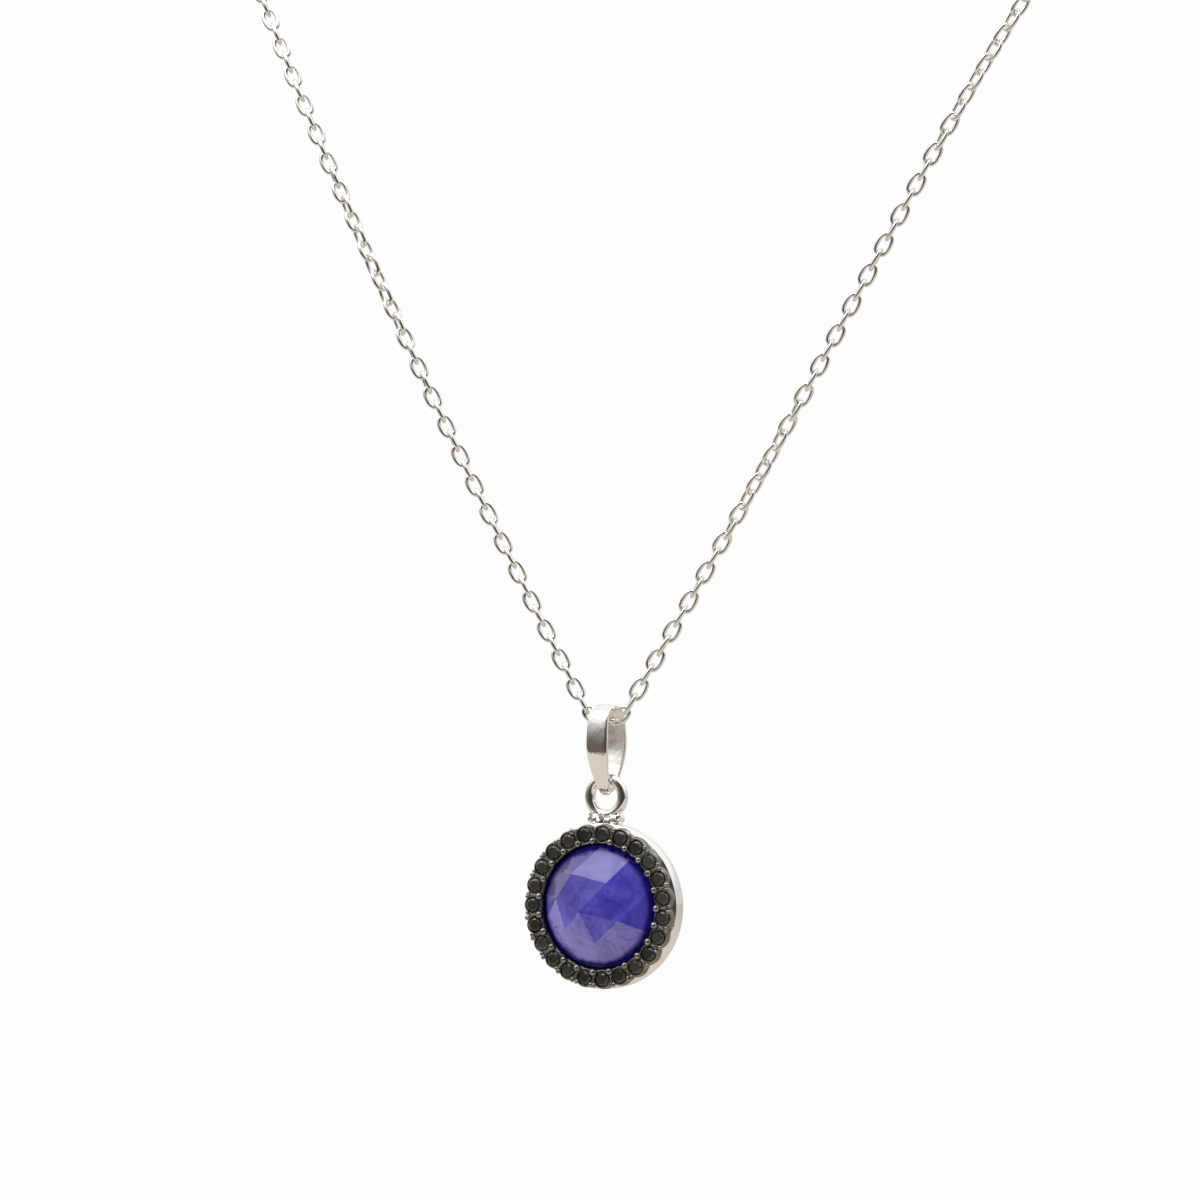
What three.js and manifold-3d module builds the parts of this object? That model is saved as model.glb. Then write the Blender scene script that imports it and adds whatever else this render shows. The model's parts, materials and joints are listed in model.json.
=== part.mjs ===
// Pendant necklace: a round stone in a halo of small black stones, a soldered loop, a folded
// bail and a fine cable chain with a spring-ring clasp, standing as it hangs when worn.
// Units are millimetres. The origin is the centre of the case's flat back, the front faces -Y
// and +Z points up to the bail.
import * as THREE from "three";
import { ConvexGeometry } from "three/addons/geometries/ConvexGeometry.js";
import { mergeVertices } from "three/addons/utils/BufferGeometryUtils.js";
import Module from "manifold-3d";

const wasm = await Module();
wasm.setup();

// Case and back plate
const CASE_R = 5.98;
const CASE_BACK_R = 5.3;
const CASE_SHOULDER_R = 5.75;
const CASE_SHOULDER_DEPTH = 0.7;
const CASE_FULL_DEPTH = 1.5;
const CASE_DEPTH = 2.3;
const BACK_PLATE_R = 4.78;
const BACK_PLATE_T = 0.5;
const LEDGE_R = 4.2;
const LEDGE_TOP = 1.6;
const FIT_GAP = 0.02;

// Centre stone, a rose cut: six star facets round a point, then triangles down to the girdle
const STONE_R = 4.5;
const STONE_GIRDLE_TOP = 2.5;
const STONE_CROWN_R = 4.37;
const STONE_CROWN_DEPTH = 2.85;
const STONE_STAR_R = 2.43;
const STONE_STAR_DEPTH = 4.26;
const STONE_HEIGHT = 4.7;
const STONE_STARS = 6;
const STONE_TURN = THREE.MathUtils.degToRad(39);

// Halo plate, its stones and its beads
const HALO_FRONT = 2.95;
const HALO_COUNT = 23;
const HALO_TURN = THREE.MathUtils.degToRad(4);
const HALO_EDGE = 0.15;
const HALO_PITCH_R = 5.25;
const HALO_STONE_R = 0.59;
const HALO_TABLE_R = 0.38;
const HALO_STONE_BACK = 2.5;
const HALO_STONE_GIRDLE = 2.88;
const HALO_STONE_GIRDLE_T = 0.06;
const HALO_STONE_FRONT = 3.12;
const SEAT_FLOOR = 2.46;
const SEAT_R = 0.615;
const BEAD_R = 0.27;
const BEAD_PITCH_R = 4.71;
const BEAD_DEPTH = 3.03;
const CLAW_R = 0.25;
const CLAW_PITCH_R = 5.8;
const CLAW_DEPTH = 2.93;

// Soldered loop at the top of the case, and the saddle it stands on
const LOOP_Y = -1.6;
const LOOP_Z = 7.88;
const LOOP_R = 1.31;
const LOOP_WIRE_R = 0.39;
const SADDLE_HALF_SPACING = 0.72;
const SADDLE_LUMP_R = 0.72;
const SADDLE_RISE = 0.28;
const SADDLE_WEB = { width: 1.7, depth: 0.95, height: 0.9, rise: 0.05 };

// Bail: a strap folded front to back over the chain, closed round the loop
const BAIL_ARCH_Z = 12.85;
const BAIL_ARCH_R = 1.65;
const BAIL_ARCH_T = 0.34;
const BAIL_PIVOT_Z = LOOP_Z + LOOP_R;
const BAIL_PIVOT_R = 0.93;
const BAIL_PIVOT_T = 0.36;
const BAIL_TIP_Z = 8.38;
const BAIL_TIP_R = 0.43;
const BAIL_TOP_HALF_W = 0.78;
const BAIL_SHOULDER_HALF_W = 0.86;
const BAIL_SHOULDER_DROP = 1.1;
const BAIL_PIVOT_HALF_W = 0.64;
const BAIL_PIVOT_FLARE_RISE = 0.4;
const BAIL_TIP_HALF_W = 0.44;
const BAIL_TIP_NARROWING = 0.75;
const BAIL_OUTLINE_MARGIN = 0.1;

// Chain
const WIRE_R = 0.135;
const LINK_END_R = 0.465;
const LINK_PITCH = 1.22;
const CHAIN_Z = 13.36;
const FIRST_LINK_RISE = THREE.MathUtils.degToRad(35);
const SPANS = 8;
const SPAN_R = 0.45;
const SPAN_GAP = 0.35;
const SPAN_END_GAP = 0.1;
const SPAN_STEPS = 5;

// The line the chain takes round the neck
const V_SLOPE = 0.62;
const LEAN_BACK = 0.09;
const COLLAR = new THREE.Vector3(29.9, 3.3, 63.8);
const COLLAR_SLOPE = 0.54;
const COLLAR_LEAN_BACK = 0.216;
const NECK_SIDE = new THREE.Vector3(57, 45, 112);
const NECK_SIDE_RISE = 0.42;
const NAPE_Y = 101;
const NAPE_Z = 124;
const CURVE_REACH = [0.34, 0.34, 0.4];

// Clasp at the nape
const CLASP_X = -2.5;
const CLASP_R = 2.25;
const CLASP_TUBE_R = 0.55;
const CLASP_BORE_R = 0.38;
const BOLT_R = 0.34;
const GATE_START = THREE.MathUtils.degToRad(-28);
const GATE_SWEEP = THREE.MathUtils.degToRad(62);
const BOLT_NOSE = THREE.MathUtils.degToRad(7);
const BOLT_TAIL = THREE.MathUtils.degToRad(38);
const BOLT_TRAVEL = THREE.MathUtils.degToRad(48);
const TAB_HALF_W = 0.2;
const TAB_TOP_R = 3.25;
const TAB_CLEARANCE = 0.04;
const TAB_ANGLE = THREE.MathUtils.degToRad(52);
const SPRING_SWEEP = THREE.MathUtils.degToRad(55);
const SPRING_R = 0.3;
const EYELET_R = 0.72;
const EYELET_WIRE_R = 0.2;
const EYELET_SINK = 0.08;
const JUMP_R = 1.0;
const JUMP_WIRE_R = 0.2;
const END_RING_R = 1.6;
const END_RING_WIRE_R = 0.33;
const CLASP_OPENING = 0.35;
const RING_GAP = 0.03;

const TURN = 2 * Math.PI;

const group = new THREE.Group();
group.name = "pendant_necklace";

function material(name, color, metalness, roughness) {
  return new THREE.MeshStandardMaterial({ name, color, metalness, roughness });
}

function addMesh(name, geometry, finish) {
  const look = {
    silver: [0xd9d8d4, 1.0, 0.18],
    dark: [0x3a3733, 1.0, 0.35],
    black: [0x141414, 0.1, 0.15],
    blue: [0x4a48a8, 0.0, 0.1],
  }[finish];
  const mesh = new THREE.Mesh(geometry, material(name, ...look));
  mesh.name = name;
  group.add(mesh);
  return mesh;
}

function toManifold(geometry) {
  const bare = geometry.index ? geometry.toNonIndexed() : geometry.clone();
  bare.deleteAttribute("normal");
  bare.deleteAttribute("uv");
  const welded = mergeVertices(bare, 1e-4);
  const vertProperties = Float32Array.from(welded.attributes.position.array);
  const triVerts = Uint32Array.from(welded.index.array);
  return new wasm.Manifold(new wasm.Mesh({ numProp: 3, vertProperties, triVerts }));
}

function toGeometry(manifold) {
  const mesh = manifold.getMesh();
  const geometry = new THREE.BufferGeometry();
  geometry.setAttribute("position", new THREE.BufferAttribute(mesh.vertProperties, 3));
  geometry.setIndex(new THREE.BufferAttribute(mesh.triVerts, 1));
  geometry.computeVertexNormals();
  return geometry;
}

function lathe(profile, segments) {
  // profile holds [radius, depth in front of the back plane]
  const points = profile.map(([r, d]) => new THREE.Vector2(r, -d)).reverse();
  return new THREE.LatheGeometry(points, segments);
}

function ringAcross(radius, wire, around, section) {
  // a round wire ring in the XZ plane
  return new THREE.TorusGeometry(radius, wire, section, around).rotateX(Math.PI / 2);
}

function circleShape(radius, sides) {
  const points = [];
  for (let i = 0; i < sides; i += 1) {
    const a = (TURN * i) / sides;
    points.push(new THREE.Vector2(radius * Math.cos(a), radius * Math.sin(a)));
  }
  return new THREE.Shape(points);
}

function sweep(radius, sides, curve, steps) {
  return new THREE.ExtrudeGeometry(circleShape(radius, sides), {
    steps,
    extrudePath: curve,
    bevelEnabled: false,
  });
}

function hullOutline(circles, perCircle) {
  // the outline that wraps round circles [across, up, radius]
  const cloud = [];
  for (const [cx, cy, r] of circles) {
    for (let i = 0; i < perCircle; i += 1) {
      const a = (TURN * i) / perCircle;
      cloud.push([cx + r * Math.cos(a), cy + r * Math.sin(a)]);
    }
  }
  cloud.sort((p, q) => p[0] - q[0] || p[1] - q[1]);
  const turn = (o, p, q) => (p[0] - o[0]) * (q[1] - o[1]) - (p[1] - o[1]) * (q[0] - o[0]);
  const half = (points) => {
    const out = [];
    for (const p of points) {
      while (out.length > 1 && turn(out[out.length - 2], out[out.length - 1], p) <= 1e-9) {
        out.pop();
      }
      out.push(p);
    }
    return out.slice(0, -1);
  };
  return [...half(cloud), ...half([...cloud].reverse())].map(([x, y]) => new THREE.Vector2(x, y));
}

// ---- case, back plate and centre stone ----
const caseWall = lathe(
  [
    [BACK_PLATE_R + FIT_GAP, 0],
    [CASE_BACK_R, 0],
    [CASE_SHOULDER_R, CASE_SHOULDER_DEPTH],
    [CASE_R, CASE_FULL_DEPTH],
    [CASE_R, CASE_DEPTH],
    [STONE_R + 3 * FIT_GAP, CASE_DEPTH],
    [STONE_R + 3 * FIT_GAP, LEDGE_TOP],
    [LEDGE_R, LEDGE_TOP],
    [LEDGE_R, BACK_PLATE_T + FIT_GAP],
    [BACK_PLATE_R + FIT_GAP, BACK_PLATE_T + FIT_GAP],
    [BACK_PLATE_R + FIT_GAP, 0],
  ],
  48,
);
addMesh("case_wall", caseWall, "silver");

const backPlate = lathe(
  [
    [0, 0],
    [BACK_PLATE_R, 0],
    [BACK_PLATE_R, BACK_PLATE_T],
    [0, BACK_PLATE_T],
  ],
  48,
);
addMesh("back_plate", backPlate, "silver");

function roseCut() {
  const points = [];
  const ringOf = (radius, depth, count) => {
    for (let i = 0; i < count; i += 1) {
      const a = STONE_TURN + (TURN * i) / count;
      points.push(new THREE.Vector3(radius * Math.sin(a), -depth, radius * Math.cos(a)));
    }
  };
  ringOf(STONE_R, LEDGE_TOP + FIT_GAP, 6 * STONE_STARS);
  ringOf(STONE_R, STONE_GIRDLE_TOP, 6 * STONE_STARS);
  ringOf(STONE_CROWN_R, STONE_CROWN_DEPTH, 2 * STONE_STARS);
  ringOf(STONE_STAR_R, STONE_STAR_DEPTH, STONE_STARS);
  points.push(new THREE.Vector3(0, -STONE_HEIGHT, 0));
  return new ConvexGeometry(points);
}
addMesh("centre_stone", roseCut(), "blue");

// ---- halo plate with its seats, beads and claws, then its stones ----
function haloPlate() {
  const plate = lathe(
    [
      [STONE_R + 2 * FIT_GAP, CASE_DEPTH + FIT_GAP],
      [CASE_R, CASE_DEPTH + FIT_GAP],
      [CASE_R, HALO_FRONT - HALO_EDGE],
      [CASE_R - HALO_EDGE, HALO_FRONT],
      [STONE_R + 2 * FIT_GAP, HALO_FRONT],
      [STONE_R + 2 * FIT_GAP, CASE_DEPTH + FIT_GAP],
    ],
    46,
  );
  const adds = [];
  const cuts = [];
  for (let i = 0; i < HALO_COUNT; i += 1) {
    const seatTurn = HALO_TURN + (TURN * i) / HALO_COUNT;
    const beadTurn = seatTurn + Math.PI / HALO_COUNT;
    const seat = new THREE.CylinderGeometry(SEAT_R, SEAT_R, 2, 10);
    seat.translate(0, -SEAT_FLOOR - 1, HALO_PITCH_R);
    seat.rotateY(seatTurn);
    cuts.push(toManifold(seat));
    const bead = new THREE.SphereGeometry(BEAD_R, 7, 4).rotateZ(0.3);
    bead.translate(0, -BEAD_DEPTH, BEAD_PITCH_R);
    bead.rotateY(beadTurn);
    adds.push(toManifold(bead));
    const claw = new THREE.SphereGeometry(CLAW_R, 5, 3).rotateZ(0.3);
    claw.translate(0, -CLAW_DEPTH, CLAW_PITCH_R);
    claw.rotateY(beadTurn);
    adds.push(toManifold(claw));
  }
  const solid = wasm.Manifold.union([toManifold(plate), ...adds]);
  const keepOut = lathe(
    [
      [0, 0],
      [STONE_R + FIT_GAP, 0],
      [STONE_R + FIT_GAP, STONE_GIRDLE_TOP],
      [STONE_CROWN_R + 2 * FIT_GAP, STONE_CROWN_DEPTH + FIT_GAP],
      [STONE_STAR_R + 2 * FIT_GAP, STONE_STAR_DEPTH + FIT_GAP],
      [0, STONE_HEIGHT],
    ],
    36,
  );
  cuts.push(toManifold(keepOut));
  return toGeometry(solid.subtract(wasm.Manifold.union(cuts)));
}
addMesh("halo_plate", haloPlate(), "dark");

for (let i = 0; i < HALO_COUNT; i += 1) {
  const stone = lathe(
    [
      [0, HALO_STONE_BACK],
      [HALO_STONE_R, HALO_STONE_GIRDLE - HALO_STONE_GIRDLE_T],
      [HALO_STONE_R, HALO_STONE_GIRDLE],
      [HALO_TABLE_R, HALO_STONE_FRONT],
      [0, HALO_STONE_FRONT],
    ],
    10,
  );
  stone.translate(0, 0, HALO_PITCH_R);
  stone.rotateY(HALO_TURN + (TURN * i) / HALO_COUNT);
  addMesh(`halo_stone_${String(i + 1).padStart(2, "0")}`, stone, "black");
}

// ---- soldered loop and its saddle ----
const loop = ringAcross(LOOP_R, LOOP_WIRE_R, 24, 8).translate(0, LOOP_Y, LOOP_Z);
addMesh("pendant_loop", loop, "silver");

function loopSaddle() {
  const lump = (x) => {
    const g = new THREE.SphereGeometry(SADDLE_LUMP_R, 10, 6).scale(1, 0.85, 0.8);
    return toManifold(g.translate(x, LOOP_Y, CASE_R + SADDLE_RISE));
  };
  const web = new THREE.BoxGeometry(SADDLE_WEB.width, SADDLE_WEB.depth, SADDLE_WEB.height);
  web.translate(0, LOOP_Y, CASE_R + SADDLE_WEB.rise);
  const body = wasm.Manifold.union([
    lump(-SADDLE_HALF_SPACING),
    lump(SADDLE_HALF_SPACING),
    toManifold(web),
  ]);
  const caseSpace = new THREE.CylinderGeometry(CASE_R + FIT_GAP, CASE_R + FIT_GAP, 9, 48);
  const loopSpace = ringAcross(LOOP_R, LOOP_WIRE_R + FIT_GAP, 24, 8);
  loopSpace.translate(0, LOOP_Y, LOOP_Z);
  return body.subtract(toManifold(caseSpace)).subtract(toManifold(loopSpace));
}
addMesh("loop_saddle", toGeometry(loopSaddle()), "silver");

// ---- bail ----
function bail() {
  const outer = hullOutline(
    [
      [LOOP_Y, BAIL_ARCH_Z, BAIL_ARCH_R],
      [LOOP_Y, BAIL_PIVOT_Z, BAIL_PIVOT_R],
      [LOOP_Y, BAIL_TIP_Z, BAIL_TIP_R],
    ],
    28,
  );
  const inner = hullOutline(
    [
      [LOOP_Y, BAIL_ARCH_Z, BAIL_ARCH_R - BAIL_ARCH_T],
      [LOOP_Y, BAIL_PIVOT_Z, BAIL_PIVOT_R - BAIL_PIVOT_T],
    ],
    28,
  );
  const side = new THREE.Shape(outer);
  side.holes.push(new THREE.Path(inner));
  const wide = 2 * BAIL_SHOULDER_HALF_W;
  const strap = new THREE.ExtrudeGeometry(side, { depth: wide, bevelEnabled: false });
  strap.translate(0, 0, -wide / 2);
  // the profile is drawn as (depth, height), so turn it to stand in the YZ plane
  const stand = new THREE.Matrix4().makeBasis(
    new THREE.Vector3(0, 1, 0),
    new THREE.Vector3(0, 0, 1),
    new THREE.Vector3(1, 0, 0),
  );
  strap.applyMatrix4(stand);
  const outline = [
    [BAIL_TIP_HALF_W * BAIL_TIP_NARROWING, BAIL_TIP_Z - BAIL_TIP_R - BAIL_OUTLINE_MARGIN],
    [BAIL_TIP_HALF_W, BAIL_TIP_Z],
    [BAIL_PIVOT_HALF_W, BAIL_PIVOT_Z + BAIL_PIVOT_FLARE_RISE],
    [BAIL_SHOULDER_HALF_W, BAIL_ARCH_Z - BAIL_SHOULDER_DROP],
    [BAIL_TOP_HALF_W, BAIL_ARCH_Z + BAIL_ARCH_R + BAIL_OUTLINE_MARGIN],
  ];
  const front = new THREE.Shape([
    ...outline.map(([x, z]) => new THREE.Vector2(x, z)),
    ...outline.reverse().map(([x, z]) => new THREE.Vector2(-x, z)),
  ]);
  const prism = new THREE.ExtrudeGeometry(front, { depth: 8, bevelEnabled: false });
  prism.rotateX(Math.PI / 2);
  prism.translate(0, LOOP_Y + 4, 0);
  return toManifold(strap).intersect(toManifold(prism));
}
addMesh("bail", toGeometry(bail()), "silver");

// ---- chain ----
function chainLink(centre, along, across) {
  // a stadium-shaped wire link: a torus whose two halves are drawn apart along its length
  const g = new THREE.TorusGeometry(LINK_END_R, WIRE_R, 6, 14);
  const half = LINK_PITCH / 2 + WIRE_R - LINK_END_R;
  const position = g.attributes.position;
  for (let i = 0; i < position.count; i += 1) {
    const x = position.getX(i);
    position.setX(i, x + Math.sign(x) * half);
  }
  g.computeVertexNormals();
  const normal = new THREE.Vector3().crossVectors(along, across);
  g.applyMatrix4(new THREE.Matrix4().makeBasis(along, across, normal));
  return g.translate(centre.x, centre.y, centre.z);
}

const X = new THREE.Vector3(1, 0, 0);
const Y = new THREE.Vector3(0, 1, 0);
const chainMiddle = new THREE.Vector3(0, LOOP_Y, CHAIN_Z);
addMesh("chain_centre_link", chainLink(chainMiddle, X, Y), "silver");

// where the rings of the clasp end stand along X, and where the last links bear on them
const eyeletX = -CLASP_R - CLASP_TUBE_R - EYELET_R + EYELET_SINK;
const eyeletBearingX = CLASP_X + eyeletX - EYELET_R + EYELET_WIRE_R;
const jumpX = eyeletBearingX + RING_GAP + JUMP_WIRE_R - JUMP_R;
const endRingX = CLASP_X + CLASP_R + CLASP_TUBE_R + CLASP_OPENING + END_RING_R + END_RING_WIRE_R;
const chainEnds = {
  left: { x: jumpX - JUMP_R + JUMP_WIRE_R, gap: 2 * JUMP_WIRE_R + SPAN_END_GAP },
  right: { x: endRingX + END_RING_R - END_RING_WIRE_R, gap: 2 * END_RING_WIRE_R + SPAN_END_GAP },
};

function strandCurve(side) {
  // side is -1 for the strand on the left seen from the front, 1 for the other
  const mirrored = (v) => new THREE.Vector3(side * v.x, v.y, v.z);
  const firstContact = new THREE.Vector3(LINK_PITCH / 2, LOOP_Y, CHAIN_Z);
  const rise = new THREE.Vector3(Math.cos(FIRST_LINK_RISE), 0, Math.sin(FIRST_LINK_RISE));
  const start = firstContact.clone().addScaledVector(rise, LINK_PITCH);
  const napeX = side < 0 ? -chainEnds.left.x : chainEnds.right.x;
  const knots = [start, COLLAR, NECK_SIDE, new THREE.Vector3(napeX, NAPE_Y, NAPE_Z)];
  const headings = [
    new THREE.Vector3(V_SLOPE, LEAN_BACK, 1),
    new THREE.Vector3(COLLAR_SLOPE, COLLAR_LEAN_BACK, 1),
    new THREE.Vector3(0, 1, NECK_SIDE_RISE),
    new THREE.Vector3(-1, 0, 0),
  ].map((v) => v.normalize());
  const path = new THREE.CurvePath();
  for (let i = 0; i < 3; i += 1) {
    const reach = knots[i].distanceTo(knots[i + 1]) * CURVE_REACH[i];
    path.add(
      new THREE.CubicBezierCurve3(
        mirrored(knots[i]),
        mirrored(knots[i].clone().addScaledVector(headings[i], reach)),
        mirrored(knots[i + 1].clone().addScaledVector(headings[i + 1], -reach)),
        mirrored(knots[i + 1]),
      ),
    );
  }
  return { path, firstContact: mirrored(firstContact), rise: mirrored(rise) };
}

const pivots = {};
const neckAxis = new THREE.Vector3(0, NAPE_Y / 2, 0);
for (const [label, side] of [["left", -1], ["right", 1]]) {
  const { path, firstContact, rise } = strandCurve(side);
  const linkCentre = firstContact.clone().addScaledVector(rise, LINK_PITCH / 2);
  const linkAcross = new THREE.Vector3().crossVectors(Y, rise);
  addMesh(`chain_${label}_first_link`, chainLink(linkCentre, rise, linkAcross), "silver");
  const endWire = firstContact.clone().addScaledVector(X, side * WIRE_R);
  pivots[`${label}_first_link`] = { at: endWire, axis: Y.clone().multiplyScalar(side) };
  const total = path.getLength();
  for (let k = 0; k < SPANS; k += 1) {
    const from = (k * total) / SPANS + SPAN_GAP;
    const endGap = k === SPANS - 1 ? chainEnds[label].gap : SPAN_GAP;
    const to = ((k + 1) * total) / SPANS - endGap;
    const points = [];
    for (let i = 0; i <= SPAN_STEPS; i += 1) {
      points.push(path.getPointAt((from + ((to - from) * i) / SPAN_STEPS) / total));
    }
    const span = sweep(SPAN_R, 6, new THREE.CatmullRomCurve3(points), SPAN_STEPS);
    addMesh(`chain_${label}_span_${k + 1}`, span, "silver");
    const at = path.getPointAt(k / SPANS);
    const along = path.getTangentAt(k / SPANS);
    const outward = at.clone().sub(neckAxis).setZ(0);
    outward.addScaledVector(along, -outward.dot(along)).normalize();
    const outOfSurface = new THREE.Vector3().crossVectors(along, outward);
    pivots[`${label}_span_${k + 1}`] = { at, axis: k % 2 ? outward : outOfSurface };
  }
  const lastWire = path.getPointAt(1).addScaledVector(X, -side * WIRE_R);
  pivots[`${label}_end`] = { at: lastWire, axis: new THREE.Vector3(0, 0, 1) };
  pivots[`${label}_length`] = total;
}

// ---- clasp on the left strand ----
function arcCurve(radius, start, sweepAngle) {
  const points = [];
  const count = Math.max(6, Math.ceil(sweepAngle / 0.2));
  for (let i = 0; i <= count; i += 1) {
    const a = start + (sweepAngle * i) / count;
    points.push(new THREE.Vector3(radius * Math.cos(a), 0, radius * Math.sin(a)));
  }
  return new THREE.CatmullRomCurve3(points);
}

function arcRod(radius, rod, sides, start, sweepAngle) {
  const steps = Math.max(4, Math.ceil(sweepAngle / 0.22));
  return toManifold(sweep(rod, sides, arcCurve(radius, start, sweepAngle), steps));
}

function arcSlab(inner, outer, thick, start, sweepAngle) {
  // a sector standing in the XZ plane, thick along Y
  const shape = new THREE.Shape();
  shape.absarc(0, 0, outer, start, start + sweepAngle, false);
  shape.absarc(0, 0, inner, start + sweepAngle, start, true);
  shape.closePath();
  const g = new THREE.ExtrudeGeometry(shape, {
    depth: thick,
    curveSegments: 10,
    bevelEnabled: false,
  });
  return toManifold(g.translate(0, 0, -thick / 2).rotateX(Math.PI / 2));
}

function placed(manifold) {
  return toGeometry(manifold.translate([CLASP_X, NAPE_Y, NAPE_Z]));
}

const tubeStart = GATE_START + GATE_SWEEP;
const tubeSweep = TURN - GATE_SWEEP;
const slotHalf = TAB_HALF_W / CLASP_R + 0.06;
let claspShell = arcRod(CLASP_R, CLASP_TUBE_R, 10, tubeStart, tubeSweep);
const bore = arcRod(CLASP_R, CLASP_BORE_R, 10, tubeStart - 0.2, tubeSweep + 0.4);
const slot = arcSlab(
  CLASP_R + 0.1,
  TAB_TOP_R + 1,
  2 * (TAB_HALF_W + TAB_CLEARANCE),
  TAB_ANGLE - slotHalf,
  BOLT_TRAVEL + 2 * slotHalf,
);
const eyelet = toManifold(ringAcross(EYELET_R, EYELET_WIRE_R, 16, 6));
claspShell = claspShell.add(eyelet.translate([eyeletX, 0, 0]));
claspShell = claspShell.subtract(bore).subtract(slot);
addMesh("clasp_body", placed(claspShell), "silver");

let bolt = arcRod(
  CLASP_R,
  BOLT_R,
  10,
  GATE_START - BOLT_NOSE,
  BOLT_NOSE + GATE_SWEEP + BOLT_TAIL,
);
const tabHalfTurn = TAB_HALF_W / CLASP_R;
bolt = bolt.add(
  arcSlab(CLASP_R, TAB_TOP_R, 2 * TAB_HALF_W, TAB_ANGLE - tabHalfTurn, 2 * tabHalfTurn),
);
addMesh("clasp_bolt", placed(bolt), "silver");

const springStart = tubeStart + BOLT_TAIL + 0.03;
const spring = arcRod(CLASP_R, SPRING_R, 8, springStart, SPRING_SWEEP);
addMesh("clasp_spring", placed(spring), "dark");

const jump = new THREE.TorusGeometry(JUMP_R, JUMP_WIRE_R, 6, 20);
addMesh("clasp_jump_ring", jump.translate(jumpX, NAPE_Y, NAPE_Z), "silver");

// ---- end ring on the right strand ----
const endRing = ringAcross(END_RING_R, END_RING_WIRE_R, 24, 8);
addMesh("end_ring", endRing.translate(endRingX, NAPE_Y, NAPE_Z), "silver");

pivots.bail_on_loop = { at: new THREE.Vector3(0, LOOP_Y, BAIL_PIVOT_Z), axis: X };
pivots.chain_in_bail = { at: new THREE.Vector3(0, LOOP_Y, BAIL_ARCH_Z), axis: X };
pivots.clasp = {
  at: new THREE.Vector3(jumpX + JUMP_R, NAPE_Y, NAPE_Z),
  axis: new THREE.Vector3(0, 1, 0),
};
pivots.bolt = { at: new THREE.Vector3(CLASP_X, NAPE_Y, NAPE_Z), axis: Y.clone().negate() };
// the points and axes the moving pieces turn about, for stating the joints
group.userData.pivots = pivots;

export default group;
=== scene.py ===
"""Looks for the pendant necklace: silver, black rhodium, a clouded blue rose-cut stone and a real
link-by-link cable chain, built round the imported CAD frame. Lengths are in metres; MM is one
millimetre. Places come from the frame's boxes and joints; the detail within them is set here."""

import json
import math

import bmesh
import bpy
import numpy as np
from mathutils import Matrix, Vector


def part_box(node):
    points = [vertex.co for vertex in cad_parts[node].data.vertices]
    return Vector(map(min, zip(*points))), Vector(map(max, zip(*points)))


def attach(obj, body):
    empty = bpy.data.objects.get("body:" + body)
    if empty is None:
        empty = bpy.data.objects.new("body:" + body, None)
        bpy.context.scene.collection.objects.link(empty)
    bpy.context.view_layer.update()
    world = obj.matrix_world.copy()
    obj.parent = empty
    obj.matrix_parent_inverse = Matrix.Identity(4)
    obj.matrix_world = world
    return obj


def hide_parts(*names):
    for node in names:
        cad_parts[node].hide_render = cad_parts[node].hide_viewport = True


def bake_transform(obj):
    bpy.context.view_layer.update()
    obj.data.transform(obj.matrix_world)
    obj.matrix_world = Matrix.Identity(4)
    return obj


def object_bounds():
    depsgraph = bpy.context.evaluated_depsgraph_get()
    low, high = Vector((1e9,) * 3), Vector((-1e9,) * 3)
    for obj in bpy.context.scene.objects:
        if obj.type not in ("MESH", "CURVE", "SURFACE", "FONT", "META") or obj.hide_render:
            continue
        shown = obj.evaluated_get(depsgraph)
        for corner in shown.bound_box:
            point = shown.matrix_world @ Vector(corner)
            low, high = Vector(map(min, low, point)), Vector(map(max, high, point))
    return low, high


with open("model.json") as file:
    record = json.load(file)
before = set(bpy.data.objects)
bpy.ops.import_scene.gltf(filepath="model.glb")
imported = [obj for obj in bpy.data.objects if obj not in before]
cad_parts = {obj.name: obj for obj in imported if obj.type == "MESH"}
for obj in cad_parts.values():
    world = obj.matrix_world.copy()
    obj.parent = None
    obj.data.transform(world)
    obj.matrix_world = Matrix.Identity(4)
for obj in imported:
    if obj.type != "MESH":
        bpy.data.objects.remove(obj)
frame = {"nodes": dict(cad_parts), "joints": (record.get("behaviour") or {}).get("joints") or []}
CAD_BOX = [list(corner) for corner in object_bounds()]
MM = 0.001
TAU = 2 * math.pi
rng = np.random.default_rng(11)
joints = {joint["name"]: joint for joint in frame["joints"]}
# the photograph's angle, which the camera and the flat chain links share
AZIMUTH = math.radians(27)
ELEVATION = math.radians(1.5)
TOWARDS_CAMERA = (math.sin(AZIMUTH), -math.cos(AZIMUTH))


# ---------------------------------------------------------------- frame


def box(node):
    low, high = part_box(node)
    return np.array(low), np.array(high)


def pivot(name):
    return np.array(joints[name]["pos_m"], float)


def unit(v):
    v = np.asarray(v, float)
    return v / np.linalg.norm(v)


# ---------------------------------------------------------------- mesh building
# A part is a pair: an array of points and a list of faces.

WELD = 0.0005 * MM
BEVEL_FROM = math.radians(35)
# the last two radii of a tube with rounded ends, as shares of its radius
ROUNDED_TIP = 0.35
ROUNDED_SHOULDER = 0.8
# how quickly an uneven ball's skin rises and falls
LUMP_PACE = 2.2


def joined(parts):
    points = []
    faces = []
    start = 0
    for verts, polys in parts:
        points.append(np.asarray(verts, float))
        faces.extend([tuple(int(i) + start for i in poly) for poly in polys])
        start += len(verts)
    return np.concatenate(points), faces


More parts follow.
